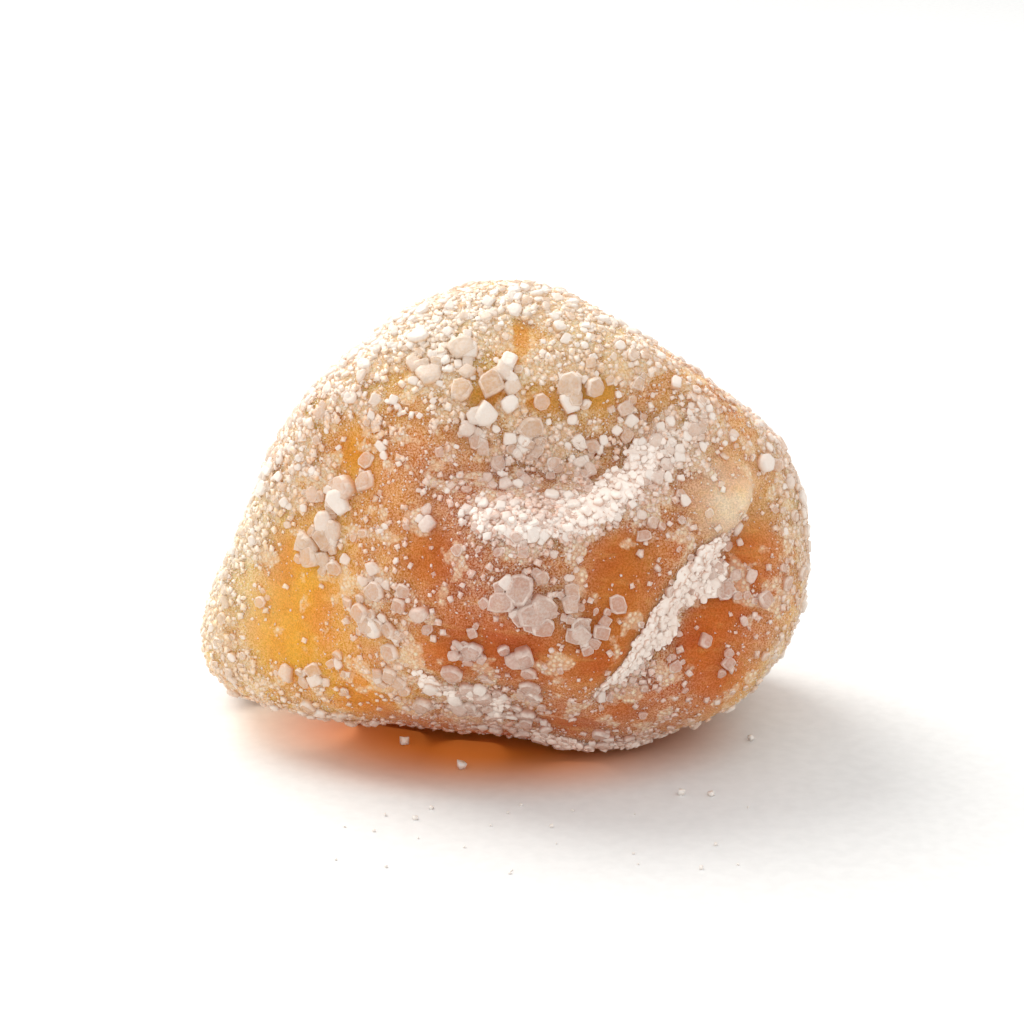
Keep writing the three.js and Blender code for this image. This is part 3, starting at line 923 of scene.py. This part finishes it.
def pale_board(colours):
    """Matt white board with the faint tooth of its surface, and a painted warm glow just under the
    chunk, which stands in for the light that comes through the flesh."""
    material, node, place = new_material("matt_white_board")
    tooth = node("TexNoise", {"Vector": place, "Scale": 1 / BOARD_TOOTH, "Detail": 3.0})
    share = node("MapRange", (tooth, 0.2, 0.8))
    plain = node("Mix", {0: share, 6: opaque(colours.board), 7: opaque(colours.board_light)})
    # painted light: the board turns warm near the chunk, a pool of light that came through the flesh
    centre, reach = PAINTED_GLOW_PATCH
    away = node("VectorMath", (place, centre), operation="SUBTRACT")
    away = node("VectorMath", (away, reach), operation="DIVIDE")
    away = node("VectorMath", (away,), "Value", operation="LENGTH")
    share = node("MapRange", (away, 0.5, 1.5, 1.0, 0.0))
    finish_material(node, {
        "Base Color": node("Mix", {0: share, 6: plain, 7: opaque(colours.painted_glow)}),
        "Roughness": 0.75,
        "Normal": node("Bump", {"Height": tooth, "Strength": 0.1, "Distance": 0.05 * MM})})
    return material


# ---------------------------------------------------------------- sizes and colours to change


def length(name, description, default_mm):
    return FloatProperty(name=name, description=description, default=default_mm * MM, unit="LENGTH",
                         precision=5, min=0.01 * MM, max=5 * MM)


def number(name, description, default):
    return IntProperty(name=name, description=description, default=default, min=0, max=60000)


def colour(name, description, hex_colour):
    return FloatVectorProperty(name=name, description=description, default=linear(hex_colour),
                               subtype="COLOR", size=3, min=0, max=1)


class GingerSizes(bpy.types.PropertyGroup):
    """Sizes and numbers of what covers the chunk."""

    coarse: length("Coarse sugar", "Mean width of a large crystal", 0.7)
    medium_least: length("Medium sugar, least", "Width of the smallest medium crystal", 0.21)
    medium_most: length("Medium sugar, most", "Width of the largest medium crystal", 0.48)
    small_least: length("Small sugar, least", "Width of the smallest small grain", 0.09)
    small_most: length("Small sugar, most", "Width of the largest small grain", 0.24)
    dust_least: length("Sugar dust, least", "Width of the smallest speck of dust", 0.05)
    dust_most: length("Sugar dust, most", "Width of the largest speck of dust", 0.12)
    haze_least: length("Sugar haze, least", "Width of the smallest speck of haze", 0.03)
    haze_most: length("Sugar haze, most", "Width of the largest speck of haze", 0.07)
    fibre_depth: length("Fibre depth", "Height of the fibres that show in the flesh", FIBRE_DEPTH)
    medium_count: number("Medium crystals", "How many medium crystals lie on the chunk", 2400)
    small_count: number("Small grains", "How many small grains lie on the chunk", 15500)
    haze_count: number("Specks of haze", "How many of the finest specks lie on the chunk", 24000)
    dust_count: number("Specks of dust", "How many specks of sugar dust lie on the chunk", 40000)


class GingerColours(bpy.types.PropertyGroup):
    """Colours of the flesh, of the sugar and of the stage."""

    # partly painted light: the tip's own flesh colour, drawn lighter and yellower for the light that
    # shines through the thin flesh
    tip: colour("Tip", "Thin flesh near the narrow tip, where light comes through", "#EAA51A")
    tip_end: colour("Tip end", "The very end of the narrow tip", "#F0CC8A")
    left: colour("Left", "Flesh of the left side", "#E89A24")
    middle: colour("Middle", "The deepest flesh, low in the front", "#BA5408")
    hollow: colour("Hollow", "Flesh in the hollow", "#CC7030")
    crown: colour("Crown", "Sugared flesh of the crown", "#E8AE50")
    top: colour("Top", "Flesh between the crown and the hollow", "#E09A1E")
    roll: colour("Roll", "The broad roll in the front", "#C06917")
    knob: colour("Knob", "The bare knob at the roll's head", "#ECE8D2")
    flank: colour("Flank", "Flesh right of the crease", "#C4610F")
    right: colour("Right", "Pale flesh of the blunt end", "#DCA258")
    slope: colour("Slope", "Flesh of the slope right of the crown", "#DC9244")
    belly: colour("Belly", "Flesh low in the front, over the foot", "#BC5A1C")
    back: colour("Back", "Flesh of the back", "#DA9C48")
    deep: colour("Deep patches", "What darker patches of flesh are tinted with", "#E8A060")
    fibre: colour("Fibres", "Pale fibres in the flesh", "#F0C476")
    bloom: colour("Bloom", "Sugar too fine to see as grains", "#F6E1C4")
    clear_sugar: colour("Clear sugar", "Faces of a crystal", "#F2E2D6")
    # white of cloudy crystals, and the painted highlight at a crystal's edges
    white_sugar_and_edge_highlight: colour("White sugar", "Scuffed edges of a crystal", "#F9F1E8")
    board: colour("Board", "The board that the chunk lies on", "#DADAD9")
    board_light: colour("Board, light", "The tooth of the board", "#E0E0DF")
    # painted light: the warm glow painted on the board under the chunk
    painted_glow: colour("Warm board", "The board just under the chunk, which only lit flesh lights", "#D8802A")


# ---------------------------------------------------------------- pieces


class GINGER_OT_flesh(bpy.types.Operator):
    """Makes the chunk's flesh, a closed surface with its folds, lumps and fibres"""

    bl_idname = "ginger.flesh"
    bl_label = "Make the flesh"

    def execute(self, context):
        sizes, colours = context.scene.ginger_sizes, context.scene.ginger_colours
        way, quads = ball_grid(FLESH_CELLS)
        hull = on_hull(way)
        sandy = sugar_patches(hull)
        points = on_chunk(way, sizes.fibre_depth / MM) + way * (PATCH_HEIGHT * sandy)[:, None]
        points[:, 2] = np.maximum(points[:, 2], 0)
        flesh = put_mesh("ginger_flesh", points, quads, True, {
            "flesh_colour": flesh_tint(hull, colours), "sandy": sandy,
            "dusted": np.clip(sugar_density(hull), 0, 1)})
        dress(flesh, cooked_ginger(colours))
        return {"FINISHED"}


class GINGER_OT_coarse_sugar(bpy.types.Operator):
    """Places the large sugar crystals where the solid has them, and grows smaller ones on some"""

    bl_idname = "ginger.coarse_sugar"
    bl_label = "Place the coarse sugar"

    def execute(self, context):
        sizes, colours = context.scene.ginger_sizes, context.scene.ginger_colours
        way, share = coarse_places()
        width = sizes.coarse / MM * share * between(CRYSTAL_WIDTH, np.arange(len(way)), WIDTH)
        way, width = with_twins(way, width)
        serial = np.arange(len(way))
        size = np.stack((np.ones_like(width), between(CRYSTAL_DEPTH, serial, DEPTH),
                         between(CRYSTAL_HEIGHT, serial, HEIGHT)), -1) * width[:, None]
        normal = outward(way)
        lean = [between(CRYSTAL_TIP, serial, use) for use in (TIP_X, TIP_Y)]
        turns = turned(normal, *lean, 2 * math.pi * draw(serial, SPIN))
        centre = on_chunk(way) + normal * ((0.5 - CRYSTAL_SINK) * size[:, 2])[:, None]
        lay_sugar("coarse_sugar", plates, centre, size, turns, frosted_sugar(colours, *CRYSTALS),
                  colours, SEEDS["coarse"])
        return {"FINISHED"}


class GINGER_OT_sugar_crust(bpy.types.Operator):
    """Makes the bands where the sugar is fused to a lumpy crust"""

    bl_idname = "ginger.sugar_crust"
    bl_label = "Make the sugar crust"

    def execute(self, context):
        sizes, colours = context.scene.ginger_sizes, context.scene.ginger_colours
        points, triangles, tops, count = [], [], [], 0
        for band, row in enumerate(CRUSTS.values()):
            places, faces, top = crust_surface(*row, SEEDS["crusts"] + 10 * band)
            points.append(places)
            triangles.append(faces + count)
            tops.append(top)
            count += len(places)
        points, triangles = np.concatenate(points), np.concatenate(triangles)
        crust = put_mesh("sugar_crust", points, triangles, True, {
            "flesh_colour": flesh_tint(on_hull(unit(points - HEART)), colours),
            "rise": np.concatenate(tops)})
        fused = fused_sugar(colours)
        dress(crust, fused)
        least, most = CRUST_GRAIN_SIZE
        strew("crust_grains", (points, triangles[:, [0, 1, 2, 2]]), np.ones(len(points)),
              CRUST_GRAINS, (least * sizes.medium_least, most * sizes.medium_most),
              CRUST_GRAIN_SKEW, plates, fused, colours, SEEDS["crust_grains"])
        return {"FINISHED"}


class GINGER_OT_fine_sugar(bpy.types.Operator):
    """Scatters the medium crystals, the small grains, the dust and the haze"""

    bl_idname = "ginger.fine_sugar"
    bl_label = "Scatter the fine sugar"

    def execute(self, context):
        sizes, colours = context.scene.ginger_sizes, context.scene.ginger_colours
        way, quads = ball_grid(SCATTER_CELLS)
        surface = on_chunk(way, sizes.fibre_depth / MM), quads
        hull = on_hull(way)
        density, patches = sugar_density(hull), sugar_patches(hull) ** 2
        fine = fine_sugar(colours)
        # Kind, its share between the sandy patches, skew of its sizes, shape and finish.
        rows = (("medium_sugar", "medium", 0.7, 2.2, plates, frosted_sugar(colours, *CRYSTALS)),
                ("small_sugar", "small", 0.25, 1.9, cubes, frosted_sugar(colours, *SMALL_CRYSTALS)),
                ("sugar_dust", "dust", 0.25, 1.4, shards, fine),
                ("sugar_haze", "haze", 0.4, 1.0, shards, fine))
        for row, (name, kind, bare, skew, shape, finish) in enumerate(rows):
            least, most, count = (
                getattr(sizes, f"{kind}_{key}") for key in ("least", "most", "count"))
            strew(name, surface, density * (bare + patches), count, (least, most), skew, shape,
                  finish, colours, SEEDS["fine"] + row)
        return {"FINISHED"}


class GINGER_OT_stage(bpy.types.Operator):
    """Sets the board, the lights and the camera"""

    bl_idname = "ginger.stage"
    bl_label = "Set the stage"

    def execute(self, context):
        scene = context.scene
        square = np.array(((-1, -1, 0), (1, -1, 0), (1, 1, 0), (-1, 1, 0)))
        board = put_mesh("board", square * BOARD_WIDTH / 2, np.array([(0, 1, 2, 3)]), False)
        board.data.materials.append(pale_board(scene.ginger_colours))
        self.strew_loose_grains(scene.ginger_colours)
        self.hang_lamps(scene)
        self.set_camera(scene)
        scene.view_settings.view_transform = "Standard"
        return {"FINISHED"}

    def strew_loose_grains(self, colours):
        rng = np.random.default_rng(SEEDS["loose"])
        small = np.column_stack((rng.uniform(*LOOSE_AREA, (LOOSE_GRAINS, 2)),
                                 rng.uniform(*LOOSE_SIZE, LOOSE_GRAINS)))
        place = np.concatenate((LOOSE_SPOTS, small))
        count = len(place)
        size = place[:, 2:] * rng.uniform(*LOOSE_SHAPE, (count, 3))
        place[:, 2] = LOOSE_RISE * size[:, 2]
        lean = rng.uniform(-LOOSE_LEAN, LOOSE_LEAN, (2, count))
        turns = turned(np.tile(UP, (count, 1)), *lean, rng.random(count) * 2 * math.pi)
        local, triangles, _ = cubes(count, rng)
        points, faces = stamped(local, triangles, place, size, turns)
        loose = put_mesh("loose_grains", points, faces, True, {
            "cloud_and_top_light": np.full(len(points), LOOSE_CLOUDY),
            "flesh_colour": np.tile(opaque(colours.board), (len(points), 1))})
        loose.data.materials.append(fine_sugar(colours))

    def hang_lamps(self, scene):
        scene.world = bpy.data.worlds.new("studio")
        scene.world.use_nodes = True
        sky = scene.world.node_tree.nodes["Background"]
        sky.inputs["Color"].default_value = (1, 1, 1, 1)
        sky.inputs["Strength"].default_value = SKY_STRENGTH
        azimuth, elevation, distance, width, power, tint = KEY_LAMP
        out = direction(azimuth, elevation)
        hang_lamp("key", AIM + out * distance, out, width, power, linear(tint))
        for name, (azimuth, elevation, width, power, tint) in GLOWS.items():
            way = direction(azimuth, elevation)[None]
            normal = outward(way)
            place = (on_chunk(way) + normal * GLOW_GAP)[0]
            lamp = hang_lamp(name, place, -normal[0], width, power, linear(tint))
            lamp.visible_camera = False

    def set_camera(self, scene):
        camera = bpy.data.cameras.new("camera")
        camera.lens, camera.sensor_width = LENS, SENSOR
        camera.clip_start = 1 * MM
        holder = bpy.data.objects.new("camera", camera)
        out = direction(-90, CAMERA_ELEVATION)
        holder.location = (AIM + out * CAMERA_DISTANCE) * MM
        holder.rotation_euler = look_back(out)
        scene.collection.objects.link(holder)
        scene.camera = holder


def hang_lamp(name, place, out, width, power, tint):
    """Hangs a round lamp at a place in mm, which shines against the direction out."""
    lamp = bpy.data.lights.new(name, "AREA")
    lamp.shape, lamp.size, lamp.energy, lamp.color = "DISK", width * MM, power, tint
    holder = bpy.data.objects.new(name, lamp)
    holder.location = place * MM
    holder.rotation_euler = look_back(out)
    bpy.context.scene.collection.objects.link(holder)
    return holder


def look_back(out):
    """The turn that points a lamp or a camera, which look along -Z, against a direction."""
    return Vector(out).to_track_quat("Z", "Y").to_euler()


class GINGER_PT_panel(bpy.types.Panel):
    """Lists the chunk's sizes, colours and makers"""

    bl_label = "Candied ginger"
    bl_space_type = "VIEW_3D"
    bl_region_type = "UI"
    bl_category = "Ginger"

    def draw(self, context):
        for group in (context.scene.ginger_sizes, context.scene.ginger_colours):
            box = self.layout.box()
            for key in group.__annotations__:
                box.prop(group, key)
        for maker in MAKERS:
            self.layout.operator(maker.bl_idname)


MAKERS = (GINGER_OT_flesh, GINGER_OT_sugar_crust, GINGER_OT_coarse_sugar, GINGER_OT_fine_sugar,
          GINGER_OT_stage)
CLASSES = (GingerSizes, GingerColours, *MAKERS, GINGER_PT_panel)


def register():
    for cls in CLASSES:
        bpy.utils.register_class(cls)
    bpy.types.Scene.ginger_sizes = PointerProperty(type=GingerSizes)
    bpy.types.Scene.ginger_colours = PointerProperty(type=GingerColours)


def unregister():
    del bpy.types.Scene.ginger_sizes, bpy.types.Scene.ginger_colours
    for cls in reversed(CLASSES):
        bpy.utils.unregister_class(cls)


def main():
    register()
    bpy.ops.ginger.flesh()
    bpy.ops.ginger.sugar_crust()
    bpy.ops.ginger.coarse_sugar()
    bpy.ops.ginger.fine_sugar()
    bpy.ops.ginger.stage()


if __name__ == "__main__":
    main()
